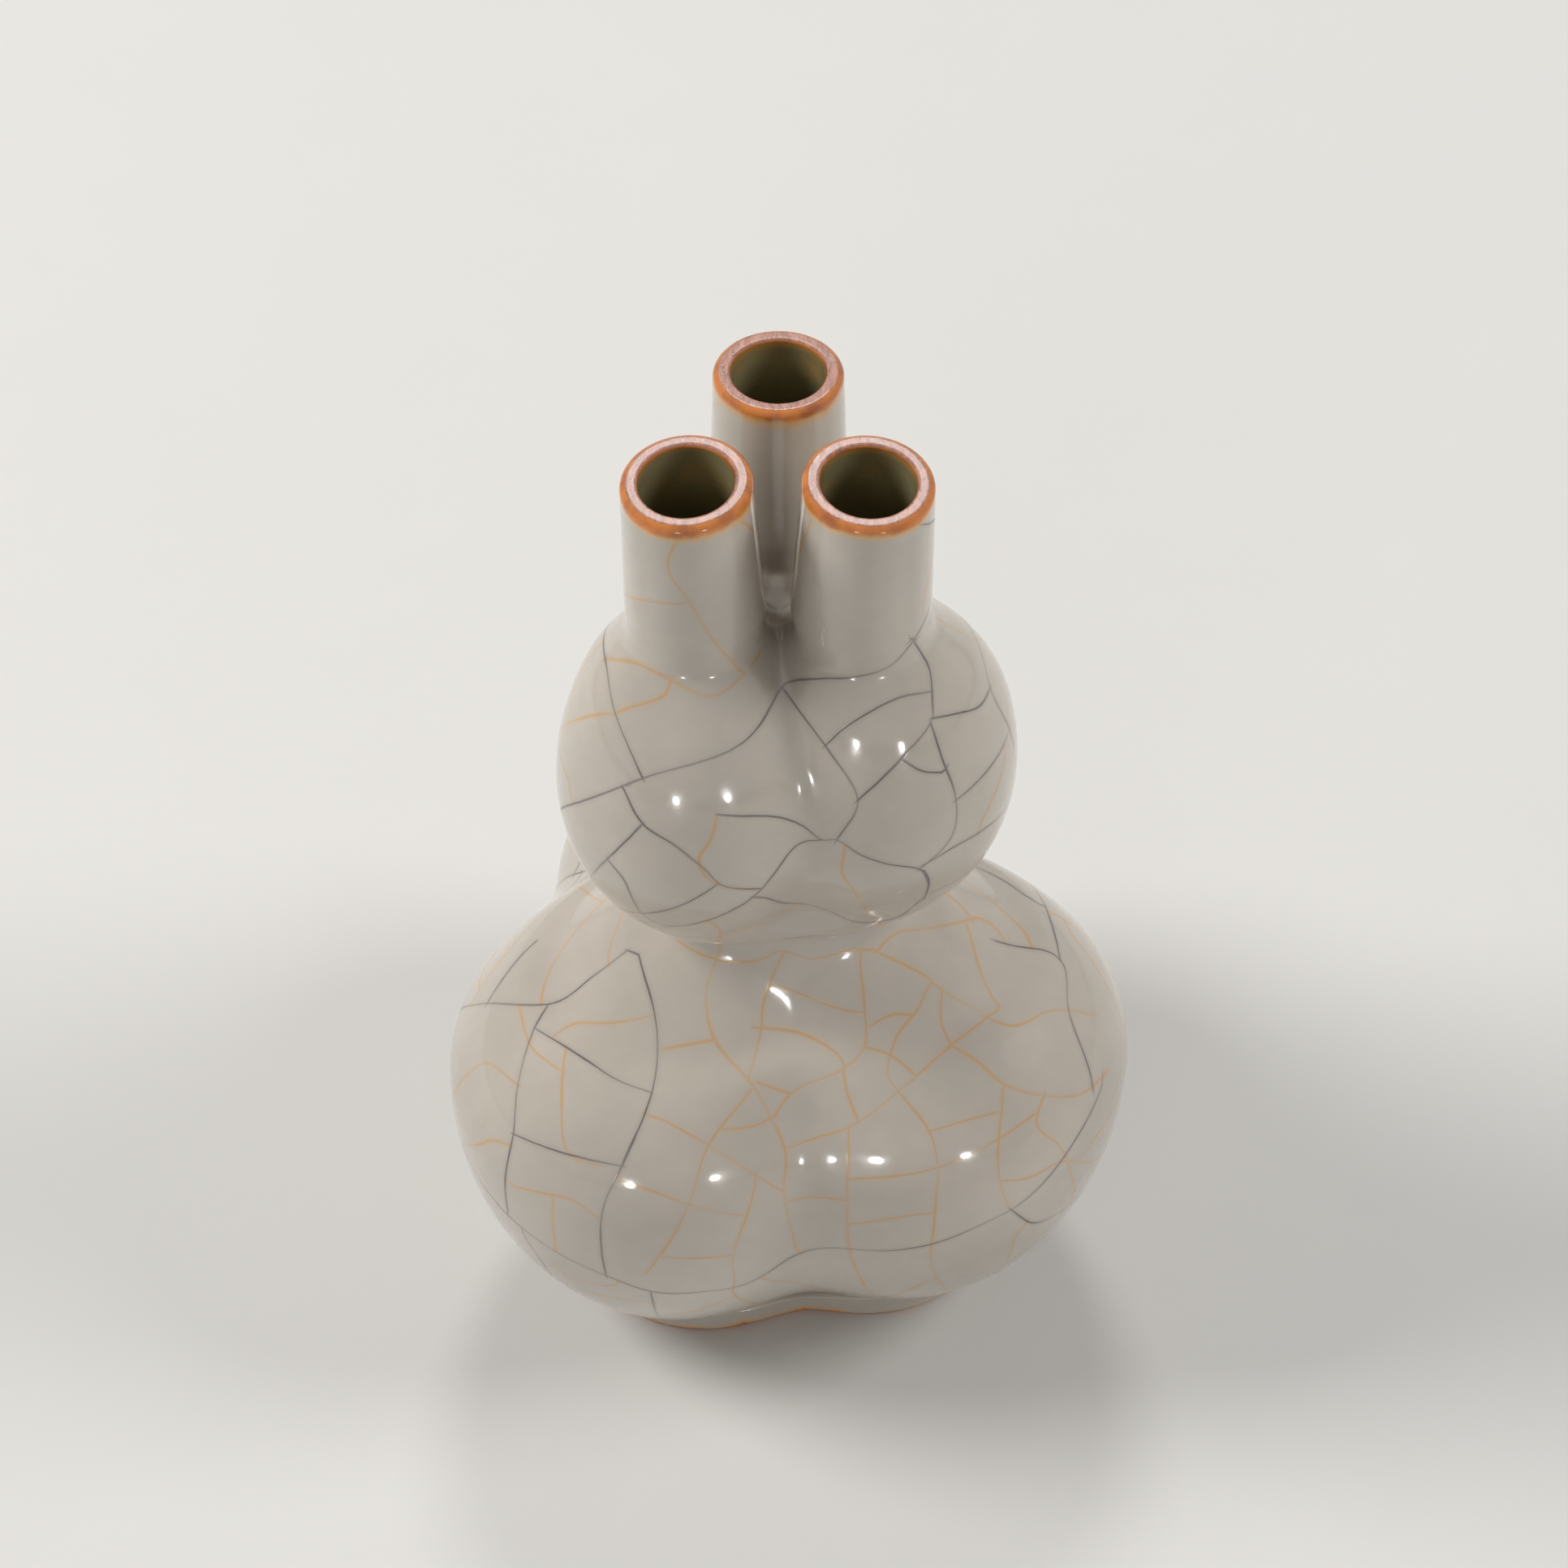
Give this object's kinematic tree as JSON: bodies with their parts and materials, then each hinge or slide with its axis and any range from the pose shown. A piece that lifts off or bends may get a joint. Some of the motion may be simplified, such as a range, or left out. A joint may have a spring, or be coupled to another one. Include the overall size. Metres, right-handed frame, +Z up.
{
  "type": "gourd bottle",
  "caption": "Crackle-glazed ceramic bottle: a small lobed gourd bulb on a larger lobed one, round necks side by side with brown dressed lips, and a low lobed foot ring.",
  "frame": {"origin": "centre of the overall footprint, on the table the foot stands on", "axes": "+Z up through the bottle, +Y towards the back neck, +X to the right seen from the front"},
  "size_m": [0.1322, 0.1282, 0.2122],
  "materials": {
    "glaze": "glossy pale grey glaze with dark and golden crackle lines",
    "lip": "iron-brown dressed lip, bare and rough on its flat top",
    "foot": "thinly glazed foot with a bare iron-brown tread"
  },
  "bodies": {
    "root": {"foot_ring": "foot", "lower_bulb_bowl": "glaze", "lower_bulb_dome": "glaze", "upper_bulb_bowl": "glaze", "upper_bulb_shoulder": "glaze", "neck_back": "glaze", "mouth_lip_back": "lip", "neck_front_left": "glaze", "mouth_lip_front_left": "lip", "neck_front_right": "glaze", "mouth_lip_front_right": "lip"}
  },
  "joints": []
}
